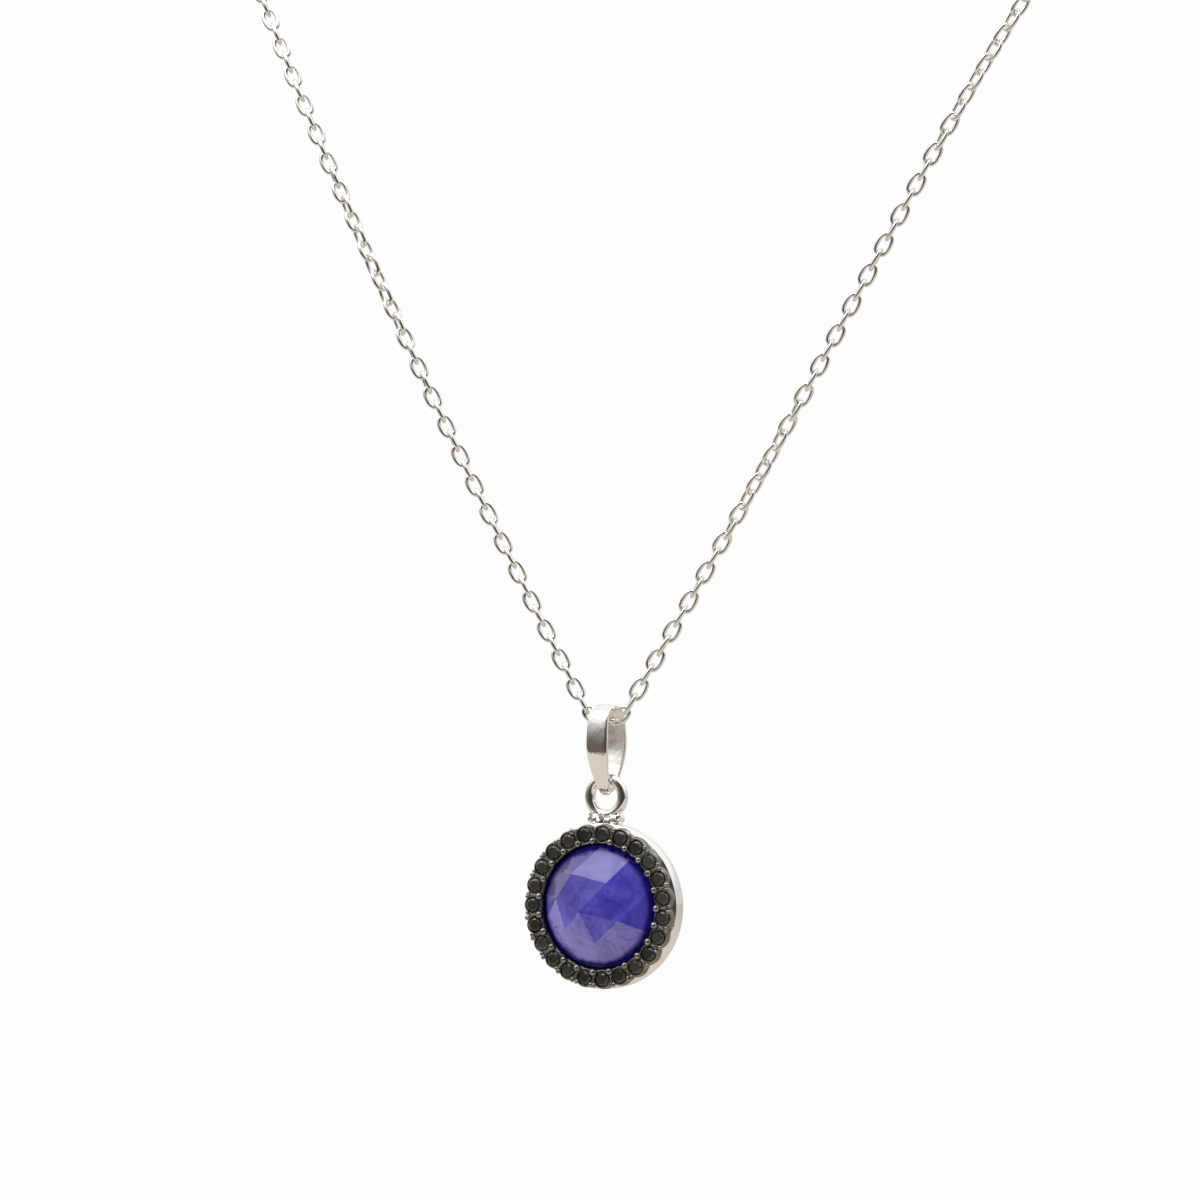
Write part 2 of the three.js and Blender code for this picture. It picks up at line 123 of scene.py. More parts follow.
def grid_faces(rows, columns, wrap_rows, wrap_columns):
    faces = []
    for i in range(rows if wrap_rows else rows - 1):
        for j in range(columns if wrap_columns else columns - 1):
            a = i * columns + j
            b = i * columns + (j + 1) % columns
            c = ((i + 1) % rows) * columns + (j + 1) % columns
            d = ((i + 1) % rows) * columns + j
            faces.append((a, b, c, d))
    return faces


def lathe(profile, around):
    """Turns (radius, depth in front of the back) points about the pendant's front-back axis."""
    angles = np.arange(around) * TAU / around
    rings = [
        np.stack([r * np.sin(angles), np.full(around, -d), r * np.cos(angles)], axis=1)
        for r, d in profile
    ]
    return np.concatenate(rings), grid_faces(len(profile), around, False, True)


def tube(path, radius, sides, closed=False, up=None, rounded=False):
    """A round tube along path. up sets the section's first roll; the roll is then carried along."""
    path = np.asarray(path, float)
    count = len(path)
    if closed:
        tangents = np.roll(path, -1, axis=0) - np.roll(path, 1, axis=0)
    else:
        tangents = np.gradient(path, axis=0)
    tangents /= np.linalg.norm(tangents, axis=1)[:, None]
    radii = np.broadcast_to(np.asarray(radius, float), (count,)).copy()
    if rounded:
        for end, inward in ((0, 1), (count - 1, -1)):
            radii[end] *= ROUNDED_TIP
            radii[end + inward] *= ROUNDED_SHOULDER
    # without up, any direction that the path does not start along will do
    normal = np.array(up if up is not None else np.cross(tangents[0], (0.31, 0.52, 0.79)))
    angles = np.arange(sides) * TAU / sides
    rings = []
    for point, tangent, r in zip(path, tangents, radii):
        normal = unit(normal - np.dot(normal, tangent) * tangent)
        side = np.cross(tangent, normal)
        section = np.outer(np.cos(angles), normal) + np.outer(np.sin(angles), side)
        rings.append(point + r * section)
    verts = np.concatenate(rings)
    faces = grid_faces(count, sides, closed, True)
    if not closed:
        faces.append(tuple(range(sides - 1, -1, -1)))
        faces.append(tuple((count - 1) * sides + j for j in range(sides)))
    return verts, faces


def ring(centre, radius, wire, normal, around, sides):
    """A closed ring of round wire, facing along normal."""
    normal = unit(normal)
    across = unit(np.cross(normal, (0.2, 0.5, 0.84)))
    other = np.cross(normal, across)
    turn = np.arange(around) * TAU / around
    path = centre + radius * (np.outer(np.cos(turn), across) + np.outer(np.sin(turn), other))
    return tube(path, wire, sides, closed=True, up=normal)


def ball(centre, radii, meridians, parallels, roughness):
    """An ellipsoid with slightly uneven skin."""
    rings = []
    for i in range(parallels):
        polar = math.pi * (i + 0.5) / parallels
        turn = np.arange(meridians) * TAU / meridians
        flat = np.sin(polar)
        height = np.full(meridians, np.cos(polar))
        rings.append(np.stack([flat * np.cos(turn), flat * np.sin(turn), height], 1))
    verts = np.concatenate(rings)
    waves = rng.normal(size=(3, 3)) * LUMP_PACE
    lumps = np.sin(verts @ waves.T + rng.uniform(0, TAU, 3)).sum(1)
    verts = verts * (1 + roughness * lumps[:, None])
    faces = grid_faces(parallels, meridians, False, True)
    faces.append(tuple(range(meridians - 1, -1, -1)))
    faces.append(tuple((parallels - 1) * meridians + j for j in range(meridians)))
    return verts * np.asarray(radii) + centre, faces


def turned(part, angle):
    """The part turned about the pendant's front-back axis."""
    verts, faces = part
    rotation = np.array(Matrix.Rotation(angle, 3, "Y"))
    return verts @ rotation.T, faces


def piece(name, parts, finish, body, nodes, smooth=True):
    """One shown piece: joined parts, riding on a body and standing for CAD nodes."""
    verts, faces = joined(parts)
    mesh = bpy.data.meshes.new(name)
    mesh.from_pydata(verts.tolist(), [], faces)
    mesh.materials.append(finish)
    work = bmesh.new()
    work.from_mesh(mesh)
    # rows that meet are welded, and points left without a face are dropped
    bmesh.ops.remove_doubles(work, verts=work.verts, dist=WELD)
    stray = [vert for vert in work.verts if not vert.link_faces]
    bmesh.ops.delete(work, geom=stray, context="VERTS")
    bmesh.ops.recalc_face_normals(work, faces=work.faces)
    work.to_mesh(mesh)
    work.free()
    mesh.polygons.foreach_set("use_smooth", [smooth] * len(mesh.polygons))
    mesh.update()
    obj = bpy.data.objects.new(name, mesh)
    bpy.context.scene.collection.objects.link(obj)
    if nodes:
        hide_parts(*nodes)
    if body:
        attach(obj, body)
    return obj


def bevelled(obj, width, segments):
    modifier = obj.modifiers.new("soft_edges", "BEVEL")
    modifier.width = width
    modifier.segments = segments
    modifier.limit_method = "ANGLE"
    modifier.angle_limit = BEVEL_FROM
    return obj


# ---------------------------------------------------------------- materials

# a Mix node has a set of sockets for each kind of value; these are the colour ones
MIX_COLOUR_A = 6
MIX_COLOUR_B = 7
MIX_COLOUR_OUT = 2


class Look:
    """A node material whose textures are measured in millimetres on the object."""

    def __init__(self, name):
        self.material = bpy.data.materials.new(name)
        self.material.use_nodes = True
        self.tree = self.material.node_tree
        self.shader = self.tree.nodes["Principled BSDF"]
        coordinates = self.add("ShaderNodeTexCoord")
        mapping = self.add("ShaderNodeMapping")
        mapping.inputs["Scale"].default_value = (1 / MM,) * 3
        self.link(coordinates.outputs["Object"], mapping.inputs["Vector"])
        self.place = mapping.outputs["Vector"]

    def add(self, kind, **settings):
        node = self.tree.nodes.new(kind)
        for key, value in settings.items():
            setattr(node, key, value)
        return node

    def link(self, source, target):
        self.tree.links.new(source, target)

    def noise(self, scale, detail=3.0, roughness=0.55, distortion=0.0, place=None):
        node = self.add("ShaderNodeTexNoise")
        node.inputs["Scale"].default_value = scale
        node.inputs["Detail"].default_value = detail
        node.inputs["Roughness"].default_value = roughness
        node.inputs["Distortion"].default_value = distortion
        self.link(place or self.place, node.inputs["Vector"])
        return node.outputs["Fac"]

    def stretched(self, scale):
        node = self.add("ShaderNodeMapping")
        node.inputs["Scale"].default_value = scale
        self.link(self.place, node.inputs["Vector"])
        return node.outputs["Vector"]

    def ramp(self, value, stops):
        node = self.add("ShaderNodeValToRGB")
        elements = node.color_ramp.elements
        while len(elements) < len(stops):
            elements.new(0.5)
        for element, (position, colour) in zip(elements, stops):
            element.position = position
            element.color = (*colour, 1.0)
        self.link(value, node.inputs["Fac"])
        return node.outputs["Color"]

    def remap(self, value, low, high, to_low, to_high, smooth=False):
        node = self.add("ShaderNodeMapRange")
        node.interpolation_type = "SMOOTHSTEP" if smooth else "LINEAR"
        for key, number in (
            ("From Min", low),
            ("From Max", high),
            ("To Min", to_low),
            ("To Max", to_high),
        ):
            node.inputs[key].default_value = number
        self.link(value, node.inputs["Value"])
        return node.outputs["Result"]

    def mix(self, factor, one, other):
        node = self.add("ShaderNodeMix", data_type="RGBA")
        self.feed(node.inputs["Factor"], factor)
        self.feed(node.inputs[MIX_COLOUR_A], one)
        self.feed(node.inputs[MIX_COLOUR_B], other)
        return node.outputs[MIX_COLOUR_OUT]

    def math(self, operation, one, other=0.0, clamp=False):
        node = self.add("ShaderNodeMath", operation=operation, use_clamp=clamp)
        self.feed(node.inputs[0], one)
        self.feed(node.inputs[1], other)
        return node.outputs[0]

    def feed(self, socket, value):
        if isinstance(value, bpy.types.NodeSocket):
            self.link(value, socket)
        elif isinstance(value, tuple):
            is_colour = len(socket.default_value) == 4 and len(value) == 3
            socket.default_value = (*value, 1.0) if is_colour else value
        else:
            socket.default_value = value

    def set(self, **values):
        for key, value in values.items():
            self.feed(self.shader.inputs[key.replace("_", " ")], value)

    def bump(self, height, depth_mm, under=None):
        node = self.add("ShaderNodeBump")
        node.inputs["Distance"].default_value = depth_mm * MM
        self.link(height, node.inputs["Height"])
        if under is not None:
            self.link(under, node.inputs["Normal"])
        return node.outputs["Normal"]


def silver_look(
    name, undulation=0.01, rough=(0.03, 0.13), hair=0.0012, tint=(0.93, 0.915, 0.89)
):
    """Polished sterling: slow waves left by casting and polishing, fine hairlines, faint tarnish."""
    look = Look(name)
    waves = look.noise(1.3, 2.0)
    hairs = look.noise(9.0, 4.0, 0.7, place=look.stretched((1.0, 1.0, 7.0)))
    smudge = look.noise(2.6, 5.0, 0.6)
    dull = look.remap(smudge, 0.35, 0.75, rough[0], rough[1])
    tarnish = look.remap(look.noise(0.9, 4.0), 0.55, 0.8, 0.0, 0.35, smooth=True)
    look.set(
        Base_Color=look.mix(tarnish, tint, (0.8, 0.75, 0.67)),
        Metallic=1.0,
        Roughness=dull,
        Normal=look.bump(hairs, hair, under=look.bump(waves, undulation)),
    )
    return look.material


def rhodium_look():
    """Black rhodium over cast silver: dark and uneven, worn lighter on the high spots."""
    look = Look("rhodium_plate")
    patches = look.noise(2.2, 5.0, 0.65)
    grains = look.noise(11.0, 5.0, 0.7)
    geometry = look.add("ShaderNodeNewGeometry")
    worn = look.remap(geometry.outputs["Pointiness"], 0.52, 0.62, 0.0, 0.75, smooth=True)
    plate = look.ramp(
        patches,
        [(0.3, (0.05, 0.044, 0.036)), (0.55, (0.15, 0.135, 0.115)), (0.75, (0.32, 0.29, 0.25))],
    )
    look.set(
        Base_Color=look.mix(worn, plate, (0.62, 0.59, 0.53)),
        Metallic=1.0,
        Roughness=look.remap(grains, 0.3, 0.75, 0.16, 0.42),
        Normal=look.bump(grains, 0.02, under=look.bump(patches, 0.05)),
    )
    return look.material


def bead_look():
    """The beads and claws: the same plate, rubbed back to grey metal."""
    look = Look("rubbed_beads")
    patches = look.noise(3.1, 4.0, 0.6)
    look.set(
        Base_Color=look.ramp(
            patches,
            [(0.3, (0.14, 0.125, 0.105)), (0.6, (0.42, 0.39, 0.34)), (0.8, (0.68, 0.64, 0.58))],
        ),
        Metallic=1.0,
        Roughness=look.remap(look.noise(8.0), 0.3, 0.8, 0.1, 0.32),
        Normal=look.bump(look.noise(6.0, 3.0), 0.012),
    )
    return look.material


def black_stone_look():
    """Black faceted stones with a faint grey cloud, each stone a little different."""
    look = Look("black_cut_stone")
    info = look.add("ShaderNodeObjectInfo")
    cloud = look.noise(2.4, 3.0)
    tone = look.math("ADD", look.math("MULTIPLY", info.outputs["Random"], 0.5), cloud)
    look.set(
        Base_Color=look.ramp(
            tone,
            [
                (0.3, (0.006, 0.007, 0.006)),
                (0.7, (0.022, 0.025, 0.021)),
                (1.0, (0.05, 0.053, 0.048)),
            ],
        ),
        Roughness=look.remap(look.noise(7.0, 4.0), 0.3, 0.8, 0.07, 0.24),
        IOR=1.75,
        Coat_Weight=0.3,
        Coat_Roughness=0.05,
        Normal=look.bump(look.noise(5.0, 4.0), 0.004),
    )
    return look.material


def blue_stone_look():
    """A clouded blue-violet stone with its reflections and shade painted into its colour. Facets
    that tilt up or down are painted pale, as the light they would return, those that face the front
    show the deep body; the edge is painted a saturated dark blue, as shade."""
    look = Look("clouded_blue_stone")
    geometry = look.add("ShaderNodeNewGeometry")
    split = look.add("ShaderNodeSeparateXYZ")
    look.link(geometry.outputs["True Normal"], split.inputs[0])
    # painted reflections: how far a facet tilts up or down, with those turned to the left counted as
    # tilting more, so that they are painted paler
    up = look.math("MULTIPLY", split.outputs["Z"], 0.78)
    down = look.math("MULTIPLY", split.outputs["Z"], -3.0)
    upper = look.math("ADD", up, look.math("MULTIPLY", split.outputs["X"], -1.2))
    lower = look.math("ADD", down, look.math("MULTIPLY", split.outputs["X"], -0.7))
    tilt = look.math("MAXIMUM", upper, lower)
    clouds = look.noise(0.5, 6.0, 0.62, 1.0)
    veils = look.noise(1.5, 5.0, 0.6, 0.8)
    # painted reflections: one lit colour for facets facing up and another for facets facing down,
    # veiled by noise
    painted_pale_above = look.mix(veils, (0.1, 0.078, 0.22), (0.185, 0.15, 0.31))
    painted_pale_below = look.mix(veils, (0.225, 0.195, 0.76), (0.39, 0.345, 0.95))
    from_above = look.remap(split.outputs["Z"], -0.12, 0.12, 0.0, 1.0, smooth=True)
    pale = look.mix(from_above, painted_pale_below, painted_pale_above)
    deep = look.ramp(
        clouds,
        [(0.32, (0.053, 0.045, 0.49)), (0.5, (0.104, 0.089, 0.7)), (0.72, (0.19, 0.165, 0.84))],
    )
    painted_tilt_and_clouds = look.math("ADD", tilt, look.remap(clouds, 0.3, 0.7, -0.12, 0.18))
    # the base colour takes the painted reflections where facets tilt and the deep clouded body where
    # they face the front
    facing = look.mix(look.math("MULTIPLY", painted_tilt_and_clouds, 0.95, clamp=True), deep, pale)
    # inclusions: small dark specks and feathers
    specks = look.remap(look.noise(6.5, 2.0, 0.5, 1.5), 0.64, 0.72, 0.0, 0.55, smooth=True)
    spotted = look.mix(specks, facing, (0.05, 0.04, 0.24))
    # and a few dark veins where two clouds meet
    seam = look.math("ABSOLUTE", look.math("SUBTRACT", look.noise(0.32, 2.5, 0.5, 1.6), 0.5))
    vein = look.remap(seam, 0.0, 0.05, 0.3, 0.0, smooth=True)
    veined = look.mix(vein, spotted, (0.045, 0.03, 0.36))
    # radius from the stone's axis, for the painted shade of the dark rim
    apart = look.add("ShaderNodeSeparateXYZ")
    look.link(look.place, apart.inputs[0])
    across = look.math("POWER", apart.outputs["X"], 2.0)
    height = look.math("POWER", apart.outputs["Z"], 2.0)
    radius = look.math("SQRT", look.math("ADD", across, height))
    low, high = box("centre_stone")
    edge = (high[0] - low[0]) / 2 / MM
    # painted shade: the stone turns a saturated dark blue towards its edge, as shade from its
    # setting
    rim = look.remap(radius, edge * 0.85, edge * 0.935, 0.0, 1.0, smooth=True)
    look.set(
        Base_Color=look.mix(rim, veined, (0.01, 0.006, 0.22)),
        Roughness=look.remap(look.noise(3.0, 5.0), 0.3, 0.8, 0.03, 0.1),
        IOR=1.6,
        # the rim sits in the shade of its setting and mirrors little
        Specular_IOR_Level=look.remap(rim, 0.0, 1.0, 0.5, 0.12),
        Coat_Weight=0.1,
        Coat_Roughness=0.02,
        Normal=look.bump(look.noise(1.4, 2.0), 0.004),
    )
    return look.material


SILVER = silver_look("polished_silver")
CASE_SILVER = silver_look("case_silver", undulation=0.02, rough=(0.06, 0.18), hair=0.002)
CAST_SILVER = silver_look("cast_silver", undulation=0.06, rough=(0.1, 0.28))
STRAP_SILVER = silver_look("strap_silver", undulation=0.025, rough=(0.03, 0.1), hair=0.0015)
SATIN_SILVER = silver_look("satin_silver", undulation=0.04, rough=(0.3, 0.48), hair=0.005)
CHAIN_SILVER = silver_look(
    "chain_silver", undulation=0.004, rough=(0.06, 0.18), tint=(0.88, 0.865, 0.835)
)
RHODIUM = rhodium_look()
BEADS = bead_look()
BLACK_STONE = black_stone_look()
BLUE_STONE = blue_stone_look()


# ---------------------------------------------------------------- pendant

case_low, case_high = box("case_wall")
CASE_R = (case_high[0] - case_low[0]) / 2
CASE_FRONT = -case_low[1]
stone_low, stone_high = box("centre_stone")
STONE_R = (stone_high[0] - stone_low[0]) / 2
STONE_FRONT = -stone_low[1]


def halo_stone_centre(number):
    low, high = box(f"halo_stone_{number:02d}")
    return (low + high) / 2


HALO_COUNT = sum(name.startswith("halo_stone_") for name in frame["nodes"])
HALO_PITCH_R = float(np.hypot(*halo_stone_centre(1)[[0, 2]]))
HALO_STEP = TAU / HALO_COUNT
HALO_TURN = math.atan2(*halo_stone_centre(1)[[0, 2]])
TABLE_DEPTH = -box("halo_stone_01")[0][1]

# the case: the drum narrows towards the back, where an opening and a recess hold the back plate
CASE_NARROWING = 0.68 * MM
OPENING_R = 4.2 * MM
RECESS_R = 4.8 * MM
LEDGE_DEPTH = 0.55 * MM
SEAT_FLOOR = 1.6 * MM
SEAT_PLAY = 0.06 * MM
CASE_EDGE = 0.04 * MM
BACK_EDGE = 0.06 * MM

# the halo: its metal stands below the stones' tables, scalloped round each of them
METAL_BELOW_TABLES = 0.17 * MM
POINTS_PER_STONE = 12
VALLEY = 0.26 * MM
SCALLOP = 0.25 * MM
COLLAR_R = 0.645 * MM
COLLAR_WIRE = 0.05 * MM
BEAD_R = 0.27 * MM
# the claws of one gap, in millimetres: sideways, outwards from the stones' circle, and radius
CLAWS = ((-0.14, 0.47, 0.18), (0.15, 0.43, 0.16))

# the halo stones
CROWN_HEIGHT = 0.24 * MM
TABLE_SHARE = 0.66
MAIN_FACETS = 8
STONE_TILT = 0.035

# the centre stone's cut, clockwise from the top as seen from the front: each star corner's angle
# and its share of the stone's radius
STONE_GIRDLE = 2.5 * MM
STONE_TIP = (-0.7 * MM, -0.36 * MM)
STAR_CORNERS = ((37, 0.49), (114, 0.54), (171, 0.58), (232, 0.57), (281, 0.63), (327, 0.63))
GIRDLE_SHARE = 0.945
GIRDLE_POINTS = 96


def build_case():
    back_r = CASE_R - CASE_NARROWING
    lip = 0.12 * MM
    profile = [
        (OPENING_R, LEDGE_DEPTH),
        (RECESS_R, 0.5 * MM),
        (RECESS_R, 0.02 * MM),
        (RECESS_R + CASE_EDGE, 0.0),
        (back_r - lip, 0.0),
        (back_r, CASE_EDGE),
    ]
    # a gently swelling side, fullest near the front
    swell = 9
    for i in range(1, swell + 1):
        t = i / swell
        radius = back_r + CASE_NARROWING * math.sin(t * math.pi / 2)
        profile.append((radius, t * SEAT_FLOOR))
    profile += [
        (CASE_R, CASE_FRONT - 0.1 * MM),
        (CASE_R - CASE_EDGE, CASE_FRONT),
        (STONE_R + SEAT_PLAY, CASE_FRONT),
        (STONE_R + SEAT_PLAY, SEAT_FLOOR),
        (OPENING_R, SEAT_FLOOR),
        (OPENING_R, LEDGE_DEPTH),
    ]
    piece("case_drum", [lathe(profile, 160)], CASE_SILVER, "pendant", ["case_wall"])

    low, high = box("back_plate")
    radius = (high[0] - low[0]) / 2
    thick = high[1] - low[1]
    disc = [
        (0.0, thick),
        (radius, thick),
        (radius, BACK_EDGE),
        (radius - BACK_EDGE, 0.0),
        (radius * 0.97, 0.0),
        (radius * 0.4, 0.0),
        (0.0, 0.0),
    ]
    piece("back_disc", [lathe(disc, 120)], CASE_SILVER, "pendant", ["back_plate"])


def build_halo():
    front = TABLE_DEPTH - METAL_BELOW_TABLES
    around = HALO_COUNT * POINTS_PER_STONE
    turn = np.arange(around) * TAU / around
    # the outer edge is scalloped round the stones, and the metal dips between them
    lobe = np.abs(np.cos((turn - HALO_TURN) * HALO_COUNT / 2))
    outer = CASE_R - VALLEY + SCALLOP * lobe
    inner = np.full(around, STONE_R + 0.04 * MM)
    back = CASE_FRONT + 0.01 * MM
    levels = [
        (inner, np.full(around, back)),
        (outer - 0.02 * MM, np.full(around, back)),
        (outer, np.full(around, back + 0.12 * MM)),
        (outer, np.full(around, front - 0.22 * MM)),
        (outer - 0.14 * MM, np.full(around, front - 0.06 * MM)),
        (outer * 0.5 + inner * 0.5, front - 0.1 * MM * (1 - lobe)),
        (inner + 0.12 * MM, np.full(around, front - 0.04 * MM)),
        (inner, np.full(around, front - 0.12 * MM)),
    ]
    rings = [np.stack([r * np.sin(turn), -d, r * np.cos(turn)], axis=1) for r, d in levels]
    plate = (np.concatenate(rings), grid_faces(len(levels), around, True, True))
    collars = []
    beads = []
    seat_at = (0, -front + 0.02 * MM, HALO_PITCH_R)
    for i in range(HALO_COUNT):
        seat = HALO_TURN + i * HALO_STEP
        gap = seat + HALO_STEP / 2
        collar = ring(seat_at, COLLAR_R, COLLAR_WIRE, (0, 1, 0), 24, 8)
        collars.append(turned(collar, seat))
        # one round bead at the centre stone's edge in each gap
        size = BEAD_R * rng.uniform(0.92, 1.08)
        bead = ball(
            (rng.normal(0, 0.03) * MM, -front - 0.1 * MM, STONE_R + 0.24 * MM),
            (size, size * 0.95, size),
            16,
            10,
            0.015,
        )
        beads.append(turned(bead, gap))
        # two uneven claws towards the outer edge
        for sideways, out, radius in CLAWS:
            grain = radius * MM * rng.uniform(0.75, 1.2)
            place = (
                (sideways + rng.normal(0, 0.04)) * MM,
                -front + rng.uniform(-0.06, 0.04) * MM,
                HALO_PITCH_R + (out + rng.normal(0, 0.022)) * MM,
            )
            claw = ball(place, (grain, grain * 0.9, grain * 1.15), 10, 7, 0.05)
            beads.append(turned(claw, gap))
        # the small ridge of metal left between two seats
        ridge = ball(
            (0, -front + 0.03 * MM, HALO_PITCH_R + 0.08 * MM),
            (0.07 * MM, 0.12 * MM, 0.36 * MM),
            10,
            7,
            0.05,
        )
        collars.append(turned(ridge, gap))
    piece("halo_ring", [plate, *collars], RHODIUM, "pendant", ["halo_plate"])
    piece("halo_beads", beads, BEADS, "pendant", [])


def faceted_stone(radius, back, girdle, front, table_r, mains):
    """A round cut: pointed back, girdle, crown with main and half facets, flat table."""
    points = [Vector((0, -back, 0))]
    for i in range(2 * mains):
        a = TAU * i / (2 * mains)
        for depth in (girdle - 0.05 * MM, girdle):
            points.append(Vector((radius * math.sin(a), -depth, radius * math.cos(a))))
    for i in range(mains):
        a = TAU * (i + 0.5) / mains
        points.append(Vector((table_r * math.sin(a), -front, table_r * math.cos(a))))
        mid = table_r * 0.55 + radius * 0.45
        rise = girdle + (front - girdle) * 0.62
        a = TAU * i / mains
        points.append(Vector((mid * math.sin(a), -rise, mid * math.cos(a))))
    return hull_part(points)


def hull_part(points):
    work = bmesh.new()
    for point in points:
        work.verts.new(point)
    bmesh.ops.convex_hull(work, input=work.verts)
    bmesh.ops.dissolve_limit(
        work, angle_limit=math.radians(1.0), verts=work.verts, edges=work.edges
    )
    work.verts.index_update()
    used = [v for v in work.verts if v.link_faces]
    index = {v: i for i, v in enumerate(used)}
    verts = np.array([v.co for v in used])
    faces = [tuple(index[v] for v in face.verts) for face in work.faces]
    work.free()
    return verts, faces


def build_halo_stones():
    low, high = box("halo_stone_01")
    back = -high[1]
    front = -low[1]
    radius = (high[0] - low[0]) / 2
    for number in range(1, HALO_COUNT + 1):
        centre = halo_stone_centre(number)
        table_r = radius * TABLE_SHARE
        stone = faceted_stone(radius, back, front - CROWN_HEIGHT, front, table_r, MAIN_FACETS)
        verts, faces = turned(stone, rng.uniform(0, TAU))
        # no two stones sit quite level
        nod = Matrix.Rotation(rng.normal(0, STONE_TILT), 3, "X")
        tilt = nod @ Matrix.Rotation(rng.normal(0, STONE_TILT), 3, "Z")
        middle = np.array([0, -front, 0])
        verts = (verts - middle) @ np.array(tilt).T + middle
        verts = verts + np.array([centre[0], 0, centre[2]])
        name = f"halo_stone_{number:02d}"
        piece(f"{name}_cut", [(verts, faces)], BLACK_STONE, "pendant", [name], False)


def build_centre_stone():
    """A hand-cut rose: six uneven star facets round the point, then triangles to the girdle."""
    rise = STONE_FRONT - STONE_GIRDLE
    points = [Vector((STONE_TIP[0], -STONE_FRONT, STONE_TIP[1]))]
    for degrees, share in STAR_CORNERS:
        a = math.radians(degrees)
        r = STONE_R * share
        depth = STONE_GIRDLE + rise * (1.0 - 0.36 * share)
        points.append(Vector((r * math.sin(a), -depth, r * math.cos(a))))
    # the triangles reach the girdle below each star corner and half way to the next
    r = STONE_R * GIRDLE_SHARE
    depth = STONE_GIRDLE + rise * 0.2
    for i, (degrees, _) in enumerate(STAR_CORNERS):
        to_next = (STAR_CORNERS[(i + 1) % len(STAR_CORNERS)][0] - degrees) % 360
        for a in (math.radians(degrees), math.radians(degrees + to_next / 2)):
            points.append(Vector((r * math.sin(a), -depth, r * math.cos(a))))
    for i in range(GIRDLE_POINTS):
        a = TAU * i / GIRDLE_POINTS
        for depth in (-stone_high[1] + 0.05 * MM, STONE_GIRDLE + rise * 0.03):
            points.append(Vector((STONE_R * math.sin(a), -depth, STONE_R * math.cos(a))))
    nodes = ["centre_stone"]
    part = hull_part(points)
    stone = piece("centre_rose_cut", [part], BLUE_STONE, "pendant", nodes, False)
    return bevelled(stone, 0.025 * MM, 2)


loop_low, loop_high = box("pendant_loop")
LOOP_CENTRE = (loop_low + loop_high) / 2
LOOP_WIRE = (loop_high[1] - loop_low[1]) / 2
LOOP_R = (loop_high[2] - loop_low[2]) / 2 - LOOP_WIRE
LOOP_POINTS = 96
SOLDER_SPLASHES = 12
SOLDER_GRAIN = 0.045 * MM


def build_loop():
    turn = np.arange(LOOP_POINTS) * TAU / LOOP_POINTS
    circle = [LOOP_R * np.sin(turn), np.zeros(LOOP_POINTS), LOOP_R * np.cos(turn)]
    path = np.stack(circle, axis=1) + LOOP_CENTRE
    # the wire is a little uneven, as cast wire is
    wire = LOOP_WIRE * (1 + 0.02 * np.sin(3 * turn + 1.0))
    wire_ring = tube(path, wire, 28, closed=True, up=(0, 1, 0))
    piece("loop_wire", [wire_ring], SILVER, "pendant", ["pendant_loop"])

    low, high = box("loop_saddle")
    middle = (low + high) / 2
    foot = low[2] + 0.28 * MM
    lumps = []
    for side in (-1, 1):
        shoulder = (side * 0.78 * MM, middle[1], foot + 0.12 * MM)
        lumps.append(ball(shoulder, (0.62 * MM, 0.62 * MM, 0.5 * MM), 24, 16, 0.035))
        fillet = (side * 0.3 * MM, middle[1] - 0.25 * MM, foot - 0.05 * MM)
        lumps.append(ball(fillet, (0.4 * MM, 0.42 * MM, 0.36 * MM), 20, 14, 0.05))
    # splashes of solder and casting grain left where the loop was joined
    for _ in range(SOLDER_SPLASHES):
        size = 0.15 * MM * rng.uniform(0.7, 1.3)
        across = rng.uniform(-1.25, 1.25) * MM
        place = (
            across,
            middle[1] - rng.uniform(0.3, 0.62) * MM,
            foot + (0.42 - 0.22 * abs(across) / MM + rng.normal(0, 0.1)) * MM,
        )
        lumps.append(ball(place, (size, size * 0.9, size * 1.25), 12, 8, 0.1))
    saddle = piece("loop_solder", lumps, CAST_SILVER, "pendant", ["loop_saddle"])
    fuse = saddle.modifiers.new("fuse", "REMESH")
    fuse.mode = "VOXEL"
    fuse.voxel_size = SOLDER_GRAIN
    fuse.use_smooth_shade = True
    soften = saddle.modifiers.new("soften", "SMOOTH")
    soften.iterations = 6


# ---------------------------------------------------------------- bail

bail_low, bail_high = box("bail")
ARCH = pivot("chain_in_bail")
HINGE = pivot("bail_on_loop")
# the strap's outline from its top to its tip, in millimetres: height, distance in front of the
# hinge, and half width
BAIL_HEIGHTS = (14.5, 14.42, 14.2, 13.8, 13.3, 12.7, 12.0, 11.4, 11.0, 10.4, 9.5, 8.8, 8.3, 8.05)
BAIL_DEPTHS = (0.0, 0.52, 1.0, 1.33, 1.5, 1.6, 1.65, 1.65, 1.6, 1.45, 1.12, 0.78, 0.48, 0.22)
BAIL_WIDTHS = (0.76, 0.77, 0.78, 0.78, 0.79, 0.81, 0.83, 0.82, 0.8, 0.75, 0.64, 0.54, 0.44, 0.37)
# the strap's thickness: thinned at the ends, which pass under the loop's wire, and over the top,
# worn by the chain
THICKNESS_HEIGHTS = (9.2, 10.4, 13.0, 13.8)
THICKNESSES = (0.29, 0.34, 0.34, 0.29)
BAIL_ROWS = 44
BAIL_COLUMNS = 9
BAIL_CROWN = 0.06 * MM
KNUCKLE_R = 0.34 * MM
KNUCKLE_HALF = 0.36


def bail_side(count):
    """The strap's outline seen from the side, front half, top to tip: (forward, height) rows."""
    knots = np.array([(0.0, d, z) for d, z in zip(BAIL_DEPTHS, BAIL_HEIGHTS)]) * MM
    fine = np.concatenate(smooth_line(knots, 12))
    fine[:, 1] = np.maximum(fine[:, 1], 0.0)
    return evenly(fine, count)[:, 1:]


